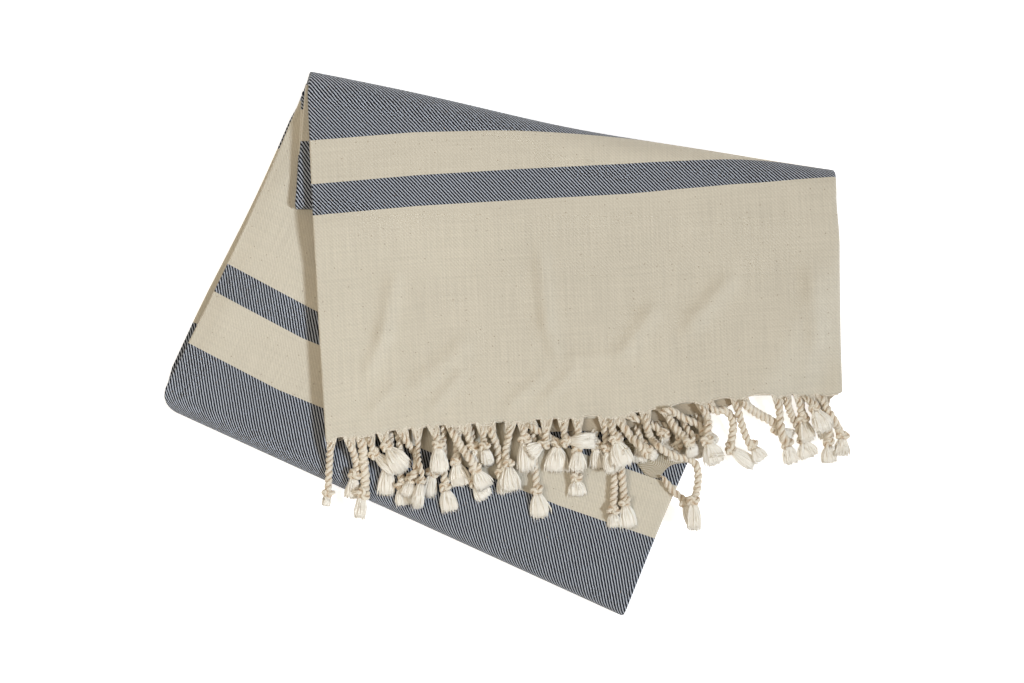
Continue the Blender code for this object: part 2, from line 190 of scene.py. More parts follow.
def on_pile(u, v, drift=()):
    """The plan position of a point of the strip before the slanting fold."""
    bend = bend_line(u)
    left, right = side_insets(v, bend)
    u = left + u * (STRIP_WIDTH - left - right) / STRIP_WIDTH
    u -= between(drift, v / bend) if drift else 0.0
    return tuple(FRONT_CORNER[k] + u * ACROSS[k] + v * ALONG[k] for k in (0, 1))


def past_side(x, y):
    """How far a plan position is past the pile's right side."""
    x, y = x - FRONT_CORNER[0], y - FRONT_CORNER[1]
    u, v = x * ACROSS[0] + y * ACROSS[1], x * ALONG[0] + y * ALONG[1]
    return u - STRIP_WIDTH + side_insets(v, bend_line(STRIP_WIDTH))[1]


def past_front(x, y):
    """How far a plan position is past the front fold."""
    return -(x - FRONT_CORNER[0]) * ALONG[0] - (y - FRONT_CORNER[1]) * ALONG[1]


def hem_arch(share):
    """How far the hem is drawn back between two gathers."""
    for low, high in zip(HEM_GATHERS, HEM_GATHERS[1:]):
        if low < share <= high:
            part = (share - low) / (high - low)
            depth = min(HEM_ARCH * (high - low) * STRIP_WIDTH, DEEPEST_ARCH)
            return depth * math.sqrt(max(4 * part * (1 - part), 0.0))
    return 0.0


def flap_length(u, run):
    share = u / STRIP_WIDTH
    length = FLAP_LEFT + (FLAP_RIGHT - FLAP_LEFT) * share + between(HEM_WAVES, share) - hem_arch(share)
    return length + (between(run["longer"], share) if run["longer"] else 0.0)


def ear_length(u):
    return EAR_LEFT + (EAR_RIGHT - EAR_LEFT) * min(u / STRIP_WIDTH, 0.99)


def ear_axis(u):
    """From the slanting fold's axis to the middle fold's."""
    return ear_length(u) - EAR_FOLD_RADIUS - MID_SHEET


def slip_of(run, u, w):
    """How far a point has moved along the slanting fold. The flap leans in at its left and right."""
    if not run["falls"]:
        return run["slip"]
    share = u / STRIP_WIDTH
    lean = FLAP_LEFT_IN * (w / FLAP_LEFT) ** 2 * max(1 - 2 * share, 0.0)
    tuck = FLAP_RIGHT_TUCK * share**3 * (1 - eased(w / TUCK_LENGTH))
    return run["slip"] + lean - tuck


def over_fold(u, w, run):
    """The plan position of a point past the slanting fold: w from the fold's axis."""
    base = on_pile(u, bend_line(u))
    along = slip_of(run, u, w) - run["lean"] * min(w / ear_axis(u), 1.0)
    x = base[0] + FOLD_LINE[0] * along + FLAP_DOWN[0] * w
    y = base[1] + FOLD_LINE[1] * along + FLAP_DOWN[1] * w
    return x, y


def fall(u, w, run):
    """How far the flap has come down at a point."""
    if not run["falls"]:
        return 0.0
    past_middle = (w - ear_length(u) - MIDDLE_FALL_START) / MIDDLE_FALL_LENGTH
    past_right = (past_side(*over_fold(u, w, run)) - SIDE_FALL_START) / SIDE_FALL_LENGTH
    puff = LEFT_PUFF * math.exp(-((u / PUFF_WIDTH) ** 2)) if run["loose"] else 0.0
    middle_fall = EAR_LAYERS * PITCH - run["loose"] - puff
    return middle_fall * eased(past_middle) + BACK_LAYERS * PITCH * eased(past_right)


def crease_at(x, y, h, run):
    """The height of a run's soft ridges at a plan position. The side thirds, h away, rise half as far."""
    height = 0.0
    for x0, y0, x1, y1, half, top in run["creases"]:
        run_x, run_y = x1 - x0, y1 - y0
        length = math.hypot(run_x, run_y)
        forth = ((x - x0) * run_x + (y - y0) * run_y) / length
        aside = ((x - x0) * run_y - (y - y0) * run_x) / length
        beyond = max(-forth, forth - length, 0.0)
        height += top * math.exp(-((aside / half) ** 2) - (beyond / (1.6 * half)) ** 2)
    return height * (1 - 0.5 * min(h / PITCH, 1.0))


def run_of(level, thirds, drift=(), slip=0.0, lean=0.0, falls=False, loose=0.0, longer=(), creases=()):
    """One run of the strip: the height of its centre third in layers, whether its side thirds lie above
    (1) or below (-1) it, its sideways drift in the pile, how it leaves the slanting fold and falls past the
    ear, and its creases."""
    return {
        "level": level * PITCH + MID_SHEET,
        "thirds": thirds,
        "drift": drift,
        "slip": slip * FOLD_SLIP * math.pi * SLANT * PITCH,
        "lean": lean,
        "falls": falls,
        "loose": loose,
        "longer": longer,
        "creases": creases,
    }


FLAP = run_of(23, -1, slip=11.5, falls=True, loose=FLAP_LIES_LOOSE, creases=FLAP_CREASES)
UNDER_FLAP = run_of(18, 1, slip=11.5, falls=True, longer=UNDER_FLAP_MORE)
UPPER_EAR = run_of(17, -1, slip=5.5, lean=EAR_LEAN)
LOWER_EAR = run_of(12, 1, lean=EAR_LEAN - UPPER_EAR["slip"])
BACK_1 = run_of(11, -1, creases=BACK_CREASES)
BACK_2 = run_of(6, 1)
BACK_3 = run_of(5, -1)
BACK_4 = run_of(0, 1, drift=LOWEST_DRIFT)

# Lengths along the cloth are counted from the front fold's outer edge, upwards on the pile's top.
FRONT_QUARTER = FRONT_AXIS_HEIGHT * math.pi / 2
EAR_QUARTER = EAR_FOLD_RADIUS * math.pi / 2
CLOTH_MIDDLE = 0.3225  # where the middle fold crosses the cloth


def turn_radius(run):
    """The radius of the slanting fold in a run's centre third."""
    return BEND_AXIS_HEIGHT - (run["level"] - MID_SHEET)


def pile_length(u):
    return bend_line(u) - FRONT_AXIS


def middle_to_back(u):
    """The cloth's length from its start of count to where run 2 leaves the slanting fold."""
    return CLOTH_MIDDLE + EAR_QUARTER + ear_axis(u) + turn_radius(BACK_2) * math.pi


def back_row(share, run, length_at):
    """A row across the strip in the pile, at a share of the way from the front fold to the slanting one."""

    def place(u, h):
        v = FRONT_AXIS + share * (bend_line(u) - FRONT_AXIS)
        x, y = on_pile(u, v, run["drift"])
        off_folds = math.sqrt(max(math.sin(math.pi * share), 0.0))
        press = SIDE_PRESS * math.exp(-((u / PRESS_WIDTH) ** 2)) * off_folds
        return x, y, (run["level"] + run["thirds"] * h) * (1 - press) + crease_at(x, y, h, run)

    return place, lambda u: length_at(u, share * pile_length(u))


def front_row(angle, lower, length_at):
    """A row round the front fold, angle 0 underneath and pi on top."""
    grows = -lower["thirds"]

    def place(u, h):
        radius = abs(lower["level"] - MID_SHEET - FRONT_AXIS_HEIGHT) + grows * h
        x, y = on_pile(u, FRONT_AXIS - radius * math.sin(angle))
        return x, y, FRONT_AXIS_HEIGHT + MID_SHEET - radius * math.cos(angle)

    return place, lambda u: length_at(u, angle)


def bend_row(angle, lower, upper, length_at):
    """A row round the slanting fold, angle 0 in the pile and pi in the flap."""

    def place(u, h):
        radius = turn_radius(lower) - lower["thirds"] * h
        share = u / STRIP_WIDTH
        dent = FOLD_DENT * math.exp(-(((share - DENT_PLACE) / DENT_WIDTH) ** 2))
        fullness = 1 - dent + FOLD_LIFT * share**8
        out = radius * math.sin(angle) * fullness
        slip = slip_of(upper, u, 0.0) * angle / math.pi - FOLD_TUCK * share**3 * math.sin(angle)
        x, y = on_pile(u, bend_line(u))
        x += FOLD_OUT[0] * out + FOLD_LINE[0] * slip
        y += FOLD_OUT[1] * out + FOLD_LINE[1] * slip
        return x, y, BEND_AXIS_HEIGHT + MID_SHEET - radius * math.cos(angle)

    return place, lambda u: length_at(u, angle * turn_radius(lower))


def flap_row(reach, run, length_at):
    """A row across a flap or ear, at reach(u) from the slanting fold's axis."""

    def place(u, h):
        w = reach(u)
        x, y = over_fold(u, w, run)
        rise = crease_at(x, y, h, run) * eased(w / CREASES_START)
        return x, y, run["level"] + run["thirds"] * h - fall(u, w, run) + rise

    return place, lambda u: length_at(u, reach(u))


def ear_fold_row(angle):
    """A row round the middle fold, angle 0 on the lower ear and pi on the upper one."""

    def place(u, h):
        radius = EAR_FOLD_RADIUS - h
        x, y = over_fold(u, ear_axis(u) + radius * math.sin(angle), UPPER_EAR)
        return x, y, EAR_AXIS_HEIGHT + MID_SHEET - radius * math.cos(angle)

    return place, lambda u: CLOTH_MIDDLE + EAR_QUARTER * (2 * angle / math.pi - 1)


def steps(count, start=0.0, end=1.0):
    """Even steps from start up to, but not with, the end."""
    return [start + (end - start) * k / count for k in range(count)]


def whole_route():
    """All rows of the cloth, from the front end on: each gives a place and a length along the cloth."""

    def turn(count):
        return steps(count, 0.0, math.pi)

    def on_4(u, v):
        return -FRONT_QUARTER - v

    def into_flap(u, w):
        return on_4(u, pile_length(u)) - w

    def on_flap(u, w):
        return into_flap(u, turn_radius(BACK_4) * math.pi) - w

    def on_1(u, v):
        return FRONT_QUARTER + v

    def into_ear(u, w):
        return on_1(u, pile_length(u)) + w

    def on_lower_ear(u, w):
        start = into_ear(u, turn_radius(BACK_1) * math.pi)
        return start + w / ear_axis(u) * (CLOTH_MIDDLE - EAR_QUARTER - start)

    def on_upper_ear(u, w):
        return CLOTH_MIDDLE + EAR_QUARTER + ear_axis(u) - w

    def into_2(u, w):
        return middle_to_back(u) - w

    def on_2(u, v):
        return middle_to_back(u) + pile_length(u) - v

    def round_inside(u, angle):
        return on_2(u, 0.0) + PITCH / 2 * (math.pi - angle)

    def on_3(u, v):
        return round_inside(u, 0.0) + v

    def into_under(u, w):
        return on_3(u, pile_length(u)) + w

    def on_under(u, w):
        return into_under(u, turn_radius(BACK_3) * math.pi) + w

    def flap_rows(run, length_at, before_fall, in_fall, after_fall):
        def near(share):
            return lambda u: share * (ear_length(u) + MIDDLE_FALL_START)

        def past_ear(share):
            return lambda u: ear_length(u) + MIDDLE_FALL_START + share * MIDDLE_FALL_LENGTH

        def to_hem(share):
            start = past_ear(1.0)
            return lambda u: start(u) + share * (flap_length(u, run) - start(u))

        reaches = [near(share) for share in steps(before_fall)]
        reaches += [past_ear(share) for share in steps(in_fall)]
        reaches += [to_hem(share) for share in (*steps(after_fall), 1.0)]
        return [flap_row(reach, run, length_at) for reach in reaches]

    def ear_rows(run, length_at, count):
        return [
            flap_row(lambda u, share=share: share * ear_axis(u), run, length_at) for share in steps(count)
        ]

    rows = flap_rows(FLAP, on_flap, 14, 13, 36)[::-1]
    rows += [bend_row(angle, BACK_4, FLAP, into_flap) for angle in turn(16)[:0:-1]]
    rows += [back_row(share, BACK_4, on_4) for share in (*steps(12), 1.0)][::-1]
    rows += [
        front_row(angle, BACK_4, lambda u, a: FRONT_QUARTER * (2 * a / math.pi - 1)) for angle in turn(16)[1:]
    ]
    rows += [back_row(share, BACK_1, on_1) for share in steps(54)]
    rows += [bend_row(angle, BACK_1, LOWER_EAR, into_ear) for angle in turn(4)]
    rows += ear_rows(LOWER_EAR, on_lower_ear, 4)
    rows += [ear_fold_row(angle) for angle in turn(10)]
    rows += [ear_fold_row(math.pi)]
    rows += ear_rows(UPPER_EAR, on_upper_ear, 12)[::-1]
    rows += [bend_row(angle, BACK_2, UPPER_EAR, into_2) for angle in turn(10)[:0:-1]]
    rows += [back_row(share, BACK_2, on_2) for share in (*steps(5), 1.0)][::-1]
    rows += [front_row(angle, BACK_3, round_inside) for angle in turn(5)[:0:-1]]
    rows += [back_row(share, BACK_3, on_3) for share in steps(5)]
    rows += [bend_row(angle, BACK_3, UNDER_FLAP, into_under) for angle in turn(10)]
    rows += flap_rows(UNDER_FLAP, on_under, 4, 8, 9)
    return rows


def columns_at_gathers(spacing):
    """Shares across the centre third: one at each gather of the hem, and about this spacing between them."""
    stops = (FIRST_COLUMN, *HEM_GATHERS, LAST_COLUMN)
    columns = []
    for low, high in zip(stops, stops[1:]):
        columns += steps(max(2, round((high - low) * STRIP_WIDTH / spacing)), low, high)
    return (*columns, stops[-1])


def cloth_section(centre_columns, left_columns, right_columns, fold_steps):
    """The cloth folded in three, seen from its end: (u, h, outward u, outward h, place across the flat cloth)
    for each point of its middle line, from the left third's selvedge to the right third's."""
    left_axis = (PITCH / 2 + MID_SHEET, PITCH / 2)
    right_axis = (STRIP_WIDTH - PITCH - MID_SHEET, PITCH)
    points = []

    def side_fold(axis, radius, start):
        for k in range(fold_steps + 1):
            angle = start + math.pi * k / fold_steps
            out = (math.cos(angle), math.sin(angle))
            points.append((axis[0] + radius * out[0], axis[1] + radius * out[1], *out))

    for share in (*steps(left_columns, LEFT_THIRD_END, LEFT_THIRD_START), LEFT_THIRD_START):
        points.append((share * STRIP_WIDTH, PITCH, 0.0, 1.0))
    side_fold(left_axis, PITCH / 2, math.pi / 2)
    for share in centre_columns:
        points.append((share * STRIP_WIDTH, 0.0, 0.0, -1.0))
    side_fold(right_axis, PITCH, -math.pi / 2)
    for share in (*steps(right_columns, RIGHT_THIRD_START, RIGHT_THIRD_END), RIGHT_THIRD_END):
        points.append((share * STRIP_WIDTH, 2 * PITCH, 0.0, 1.0))
    flat = [0.0]
    for first, last in zip(points, points[1:]):
        flat.append(flat[-1] + math.hypot(last[0] - first[0], last[1] - first[1]))
    return [(*point, across) for point, across in zip(points, flat)]


WEFT_PLACES = (0.0, 0.2, 0.4, 0.6, 0.8, 1.0)  # shares across the strip
WEFT_DRIFT = (  # (length along the cloth, how far the weft has drifted forwards there at each of WEFT_PLACES)
    (-0.4830, (-0.0098, -0.0026, -0.0020, 0.0000, 0.0085, 0.0105)),
    (-0.3430, (-0.0042, -0.0009, 0.0004, 0.0015, 0.0050, 0.0070)),
    (-0.3240, (-0.0036, -0.0006, 0.0008, 0.0014, 0.0029, 0.0032)),
    (-0.2985, (-0.0015, 0.0011, 0.0000, -0.0016, -0.0010, -0.0010)),
    (-0.1800, (0.0000, 0.0000, 0.0000, 0.0000, 0.0000, 0.0000)),
    (0.0000, (0.0015, -0.0014, 0.0004, 0.0020, 0.0035, 0.0060)),
    (0.0460, (0.0019, -0.0015, 0.0010, 0.0035, 0.0056, 0.0119)),
    (0.1000, (0.0026, -0.0015, 0.0010, 0.0035, 0.0056, 0.0119)),
    (0.2000, (0.0000, 0.0000, 0.0000, 0.0000, 0.0000, 0.0000)),
)


def weft_drift(share, along):
    """How far the weft has drifted at a place on the cloth, smoothly between the table's rows and columns."""

    def across(drifts):
        place = min(max(share, 0.0), 1.0) * (len(WEFT_PLACES) - 1)
        k = min(int(place), len(WEFT_PLACES) - 2)
        return drifts[k] + (drifts[k + 1] - drifts[k]) * (place - k)

    if along <= WEFT_DRIFT[0][0]:
        return across(WEFT_DRIFT[0][1])
    for (low, first), (high, last) in zip(WEFT_DRIFT, WEFT_DRIFT[1:]):
        if along <= high:
            part = eased((along - low) / (high - low))
            return across(first) * (1 - part) + across(last) * part
    return 0.0


def sheet_mesh(name, points, rows):
    """Sweeps the section along its rows into a closed skin whose UV map is the flat cloth, in metres."""
    half = THICKNESS / 2
    wide = len(points)
    corners, flat = [], []
    for place, length in rows:
        for side in (1, -1):
            corners += [place(u + side * half * a, h + side * half * b) for u, h, a, b, _ in points]
        for u, *_, across in points:
            along = length(min(max(u, 0.0), STRIP_WIDTH))
            flat.append((across, along - weft_drift(u / STRIP_WIDTH, along)))

    def corner(row, side, i):
        return (2 * row + side) * wide + i

    faces = []
    for row in range(len(rows) - 1):
        for i in range(wide - 1):
            for side in (0, 1):
                ring = [corner(row, side, i), corner(row, side, i + 1),
                        corner(row + 1, side, i + 1), corner(row + 1, side, i)]
                faces.append(ring if side == 0 else ring[::-1])
        for i, forward in ((0, True), (wide - 1, False)):
            ring = [corner(row, 0, i), corner(row + 1, 0, i), corner(row + 1, 1, i), corner(row, 1, i)]
            faces.append(ring if forward else ring[::-1])
    for row, forward in ((0, False), (len(rows) - 1, True)):
        for i in range(wide - 1):
            ring = [corner(row, 0, i), corner(row, 0, i + 1), corner(row, 1, i + 1), corner(row, 1, i)]
            faces.append(ring[::-1] if forward else ring)
    mesh = bpy.data.meshes.new(name)
    mesh.from_pydata(corners, [], faces)
    layer = mesh.uv_layers.new(name="flat_cloth")
    loops = [loop.vertex_index for loop in mesh.loops]
    for k, index in enumerate(loops):
        layer.data[k].uv = flat[index // (2 * wide) * wide + index % wide]
    shell = bmesh.new()
    shell.from_mesh(mesh)
    bmesh.ops.recalc_face_normals(shell, faces=shell.faces)
    shell.to_mesh(mesh)
    shell.free()
    mesh.shade_smooth()
    return mesh


class Value:
    """A socket in a material. Operators add Math nodes, and node() adds a node of any other kind."""

    def __init__(self, tree, socket=None):
        self.tree = tree
        self.socket = socket

    def node(self, kind, settings=None, output=0, **inputs):
        """Adds a node, applies its settings, then sets or links its sockets by name (or _0, _1 ...)."""
        made = self.tree.nodes.new(kind)
        for key, setting in (settings or {}).items():
            setattr(made, key, setting)
        for key, given in inputs.items():
            socket = made.inputs[int(key[1:])] if key[0] == "_" else made.inputs[key.replace("_", " ")]
            if isinstance(given, Value):
                self.tree.links.new(given.socket, socket)
            else:
                socket.default_value = given
        return Value(self.tree, made.outputs[output])

    def other(self, output):
        """Another output of the same node."""
        return Value(self.tree, self.socket.node.outputs[output])

    def math(self, operation, other=0.0, clamp=False):
        return self.node("ShaderNodeMath", {"operation": operation, "use_clamp": clamp}, _0=self, _1=other)

    def __add__(self, other):
        return self.math("ADD", other)

    def __mul__(self, other):
        return self.math("MULTIPLY", other)

    def __sub__(self, other):
        return self.math("SUBTRACT", other)

    def __rsub__(self, other):
        return self.node("ShaderNodeMath", {"operation": "SUBTRACT"}, _0=other, _1=self)

    __radd__ = __add__
    __rmul__ = __mul__

    def clipped(self):
        return self.math("ADD", 0.0, clamp=True)

    def wave(self):
        """The sine of this many whole turns."""
        return (self * math.tau).math("SINE")

    def mixed(self, first, last):
        """A colour between two, by this value."""
        return self.node("ShaderNodeMix", {"data_type": "RGBA"}, 2, _0=self, _6=first, _7=last)

    def shaded(self, brightness):
        """This colour, made brighter or darker."""
        return self.node("ShaderNodeVectorMath", {"operation": "SCALE"}, _0=self, Scale=brightness)

    def into(self, socket):
        self.tree.links.new(self.socket, socket)


def new_material(name, roughness, sheen):
    material = bpy.data.materials.new(name)
    material.use_nodes = True
    shader = material.node_tree.nodes["Principled BSDF"]
    shader.inputs["Roughness"].default_value = roughness
    shader.inputs["Sheen Weight"].default_value = sheen
    shader.inputs["Sheen Roughness"].default_value = 0.5
    shader.inputs["Specular IOR Level"].default_value = 0.25
    return material, shader, Value(material.node_tree)


ENDS_REPEAT = 0.00216  # four warp ends, one repeat of the twill across the cloth
PICKS_PER_METRE = 348.4  # twill repeats along the cloth at the front fold
BEATEN_CLOSER = 98.4  # and how much closer the weft was beaten towards the first end
STRIPES = (  # (from, to) along the cloth's first half; its second half mirrors them
    (-0.3435, -0.3242),
    (-0.2985, -0.1855),
    (-0.0620, 0.0460),
    (0.0825, 0.1020),
    (0.2190, 0.2385),
    (0.2765, 0.4000),
)
STRIPE_EDGE = 0.0002
ECRU_WARP = (0.628, 0.580, 0.480, 1)
ECRU_WEFT = (0.576, 0.524, 0.424, 1)
STRIPE_WARP = (0.430, 0.458, 0.512, 1)
STRIPE_WEFT = (0.008, 0.011, 0.020, 1)
LAST_HEM, HEM_FADE = 1.080, 80.0  # where the painted shade on the last end's hem starts, and how sharply
HEM_PAINTED_SHADE = (0.420, 0.330, 0.220, 1)  # painted shade under the fringe, on the last end's hem
SEED_FLECK = (0.190, 0.110, 0.050, 1)
FLECKS_PER_METRE = 120.0


def cotton_twill(name, weft_and_rib_shade, relief):
    """Undyed warp and, in the stripes, dark blue weft: a twill whose lines lean over the flat cloth."""
    material, shader, start = new_material(name, roughness=0.92, sheen=0.10)
    flat = start.node("ShaderNodeUVMap", {"uv_map": "flat_cloth"})

    def noise(scale, detail=0.0):
        return start.node(
            "ShaderNodeTexNoise", {"noise_dimensions": "2D"}, Vector=flat, Scale=scale, Detail=detail
        )

    def slubs(along_yarn, across_yarn):
        """Noise drawn out along the yarns, with these many changes a metre along and across the cloth."""
        drawn = start.node("ShaderNodeMapping", Vector=flat, Scale=(across_yarn, along_yarn, 1.0))
        return start.node("ShaderNodeTexNoise", {"noise_dimensions": "2D"}, Vector=drawn, Scale=1.0)

    across = start.node("ShaderNodeSeparateXYZ", Vector=flat)
    along = across.other(1)
    first_half = CLOTH_MIDDLE - (along - CLOTH_MIDDLE).math("ABSOLUTE")
    near_end = first_half.math("MINIMUM", 0.0)
    repeats = first_half * PICKS_PER_METRE - near_end * near_end * BEATEN_CLOSER
    forwards = 1 - along.math("GREATER_THAN", CLOTH_MIDDLE) * 2.0
    wobble = (noise(60.0, 2.0) - 0.5) * 0.24 + (noise(420.0) - 0.5) * 0.14
    twill = (across * (1 / ENDS_REPEAT) + repeats * forwards + wobble).wave()
    stripe = 0.0
    for low, high in STRIPES:
        inside = ((first_half - low) * (1 / STRIPE_EDGE) + 0.5).clipped()
        stripe = inside * ((high - first_half) * (1 / STRIPE_EDGE) + 0.5).clipped() + stripe

    warp_up = (twill * 2.2 - 0.10).clipped()
    soft_warp = (twill * 0.5 + 0.5).clipped()
    end_yarn = (across * (2 / ENDS_REPEAT)).wave().math("ABSOLUTE")
    pick_yarn = (repeats * 2.0).wave().math("ABSOLUTE")
    yarn = warp_up * end_yarn + (1 - warp_up) * pick_yarn

    warp_slub = slubs(26.0, 900.0)
    weft_slub = slubs(900.0, 26.0)
    lint = noise(900.0, 1.0)
    # painted shade: the last end's hem, under the fringe, is drawn browner
    painted_hem_shade = ((along - LAST_HEM) * HEM_FADE).clipped() * 0.7
    ground = painted_hem_shade.mixed(soft_warp.mixed(weft_and_rib_shade, ECRU_WARP), HEM_PAINTED_SHADE)
    dark = warp_up.mixed(STRIPE_WEFT, STRIPE_WARP)
    # the yarn term adds painted shade in the dips between the yarns; slubs, lint and noise are the yarns' own
    # uneven tone
    shade = 0.66 + warp_slub * 0.18 + weft_slub * 0.14 + lint * 0.14 + noise(14.0, 3.0) * 0.12 + yarn * 0.08
    colour = stripe.mixed(ground, dark).shaded(shade)
    cell = start.node(
        "ShaderNodeTexVoronoi", {"voronoi_dimensions": "2D"}, 0, Vector=flat, Scale=FLECKS_PER_METRE
    )
    chance = start.node("ShaderNodeSeparateColor", _0=cell.other("Color"))
    fleck = ((0.055 - cell) * 60.0).clipped() * ((chance - 0.70) * 12.0).clipped() * 0.5
    fleck.mixed(colour, SEED_FLECK).into(shader.inputs["Base Color"])

    height = twill * 0.20 + yarn * 0.28 + warp_slub * 0.6 + weft_slub * 0.5 + lint * 0.5
    start.node("ShaderNodeBump", Strength=0.5, Distance=relief, Height=height).into(shader.inputs["Normal"])
    return material


def add_piece(name, mesh, material, slot, *nodes):
    """Puts a finished mesh in the scene, where it stands for the CAD nodes it is given."""
    mesh.materials.append(material)
    piece = bpy.data.objects.new(name, mesh)
    bpy.context.scene.collection.objects.link(piece)
    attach(piece, "root")
    if nodes:
        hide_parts(*nodes)
    return piece


COLUMN_SPACING = 0.0024
LEFT_COLUMNS, RIGHT_COLUMNS, SIDE_FOLD_STEPS = 18, 20, 6
section = cloth_section(columns_at_gathers(COLUMN_SPACING), LEFT_COLUMNS, RIGHT_COLUMNS, SIDE_FOLD_STEPS)
cloth_mesh = sheet_mesh("towel_cloth_sheet", section, whole_route())
twill = cotton_twill("cotton_twill", ECRU_WEFT, relief=0.0003)
cloth = add_piece("towel_cloth_sheet", cloth_mesh, twill, "cotton_twill", "towel_cloth")


# ---------------------------------------------------------------------------------------------------------
# The corner: one corner of the cloth's last end, turned out from under the flap onto the pile's right edge.
# It is the same twill, drawn together and creased along its middle, so that its lines meet in a chevron.

CORNER_ROWS = (  # (right, up) of its upper edge, then of its lower edge, in mm, from the fringe outwards
    (84.0, -57.0, 72.0, -65.0),
    (91.0, -62.6, 82.0, -73.5),
    (97.3, -66.3, 85.6, -78.6),
    (103.8, -69.8, 89.3, -83.6),
    (109.8, -72.8, 93.5, -85.6),
    (115.3, -76.4, 98.9, -86.3),
)
CORNER_PARTS = 4  # how many rows of the mesh there are to each row of the table
CORNER_WIDTH, CORNER_COLUMNS = 0.0155, 12
CORNER_CREASE, CORNER_RISE = 0.55, 0.0012  # its crease's share of the width, and height
CORNER_HOLLOW = 0.0034  # how far its end is drawn in between its two tips
CORNER_LENGTH = 0.042
CORNER_ALONG, DRAWN_TOGETHER = 0.480, 1.35  # its place along the cloth, and how much its twill is drawn in
RIB_SHADE = (0.400, 0.330, 0.220, 1)  # between its ribs, which stand closer than on the flat cloth
UP = Vector((0.0, 0.0, 1.0))


def support(x, y):
    """The height that the fringe lies on: the pile's top, easing down to the floor past its edges."""
    off_side = eased((past_side(x, y) - SIDE_FALL_START) / SIDE_FALL_LENGTH)
    off_front = eased((past_front(x, y) - SIDE_FALL_START) / SIDE_FALL_LENGTH)
    return PILE_TOP * (1 - off_side) * (1 - off_front)


def corner_row(upper, lower, length, hollow):
    inwards = (lower - upper).cross(UP).normalized()

    def place(u, h):
        share = u / CORNER_WIDTH
        spot = upper.lerp(lower, share) + inwards * (hollow * math.sin(math.pi * share))
        rise = CORNER_RISE * (1 - abs(share - CORNER_CREASE) / CORNER_CREASE)
        return spot.x, spot.y, support(spot.x, spot.y) + THICKNESS + rise + h

    return place, lambda u: CORNER_ALONG + length * DRAWN_TOGETHER


corner_rows = []
for n in range((len(CORNER_ROWS) - 1) * CORNER_PARTS + 1):
    k = min(n // CORNER_PARTS, len(CORNER_ROWS) - 2)
    part = n / CORNER_PARTS - k
    spots = [(a + (b - a) * part) / 1000 for a, b in zip(CORNER_ROWS[k], CORNER_ROWS[k + 1])]
    far = n / CORNER_PARTS / (len(CORNER_ROWS) - 1)
    upper, lower = Vector((*spots[:2], 0.0)), Vector((*spots[2:], 0.0))
    corner_rows.append(corner_row(upper, lower, CORNER_LENGTH * far, CORNER_HOLLOW * far**5))
corner_section = [
    (share * CORNER_WIDTH, 0.0, 0.0, 1.0, abs(share - CORNER_CREASE) * CORNER_WIDTH * DRAWN_TOGETHER)
    for share in (*steps(CORNER_COLUMNS), 1.0)
]
corner_mesh = sheet_mesh("towel_corner", corner_section, corner_rows)
# its weft is RIB_SHADE, painted shade in the dips between its ribs
drawn_twill = cotton_twill("drawn_twill", RIB_SHADE, relief=0.0012)
corner = add_piece("towel_corner", corner_mesh, drawn_twill, "cotton_twill")


# ---------------------------------------------------------------------------------------------------------
# The under fringe: the warp ends of the cloth's last end, gathered in bundles, twisted in two plies into
# thick cords, tied in an overhand knot and left open as a brush. That end lies right under the flap, and
# its longer tassels show past the flap's own.

CORD_RADIUS = 0.0030
PLY_RADIUS, PLY_OFFSET = 0.00166, 0.00134
PLY_TURN = 0.0084  # the length of one turn of the two plies
CORD_STEP = 0.0006
CORD_DROP = 0.015  # the length in which a cord comes down from the hem
CORD_SMOOTHING = 14  # passes that lift a cord over what it crosses
SOFTNESS = 0.82  # how far cords that cross keep apart, as a share of their radius
KNOT_RADIUS = 0.0042
KNOT_SIZE = 0.00098
KNOT_PLY, KNOT_OFFSET = 0.00136, 0.00102
ROOT_LENGTH, ROOT_YARNS, ROOT_SPREAD = 0.0060, 9, 0.0036
BRUSH_THICKNESS, BRUSH_NECK = 0.0024, 0.0022
NECK_START = 0.0024  # from the knot's middle
BRUSH_OPEN = 0.7  # the share of its length in which a brush opens to its full width
BODY_REACH, BODY_WIDTH, BODY_END, BODY_FLAT = 0.92, 0.93, 0.7, 0.76  # its middle, as shares of the whole
GOLDEN_ANGLE = 2.39996  # radians from one yarn to the next round a brush
YARN_SHADES = 60
BRUSH_YARNS, YARN_RADIUS = 40, 0.00066
LOOSE_FIBRES, FIBRE_RADIUS = 16, 0.00016

UNDER_TASSELS = (
    # (share across the hem, route from the root in mm (right, down), the cord's thickness as a share of the
    #  usual one, then the brush in mm and degrees: length, lean and width)
    (0.127, ((-0.5, 12), (-2, 24)), 0.90, 18, -4, 11),
    (0.142, ((1.5, 20), (2, 37)), 0.85, 11, 14, 13),
    (0.219, ((-1, 18), (-3.5, 32)), 0.90, 14, -8, 8),
    (0.230, ((0, 22), (1.3, 42)), 0.85, 14, 12, 12),
    (0.284, ((1.5, 22), (2, 39)), 0.85, 11, 36, 12),
    (0.404, ((0.5, 24), (2.6, 45)), 0.90, 16, 8, 13),
    (0.484, ((0, 17), (1, 29.5)), 0.90, 10, 3, 12),
    (0.520, ((0, 6), (2, 11)), 0.90, 13, 6, 11),
    (0.559, ((0.5, 25), (-0.6, 51)), 0.90, 9, 2, 9),
    (0.570, ((1, 25), (3.2, 46)), 0.90, 15, 10, 11),
    (0.600, ((2, 7), (3, 12)), 0.90, 10, 0, 9),
    (0.640, ((5, 3), (12, 6), (19, 9)), 0.90, 7, 60, 9),
    (0.668, ((3, 6), (5, 13), (4, 18)), 0.85, 8, -10, 9),
    (0.690, ((2, 8), (7, 16)), 0.85, 11, 30, 10),
    (0.715, ((3, 5), (7, 12), (9, 19)), 0.90, 8, 20, 9),
    (0.950, ((2, 8), (5, 16)), 0.80, 10, 8, 9),
)
CORNER_TASSEL = ((0.1000, -0.0845, 0.0175), ((6.8, 9.0), (13.3, 14.4), (14.9, 17.0)), 0.80, 15, 22, 9)


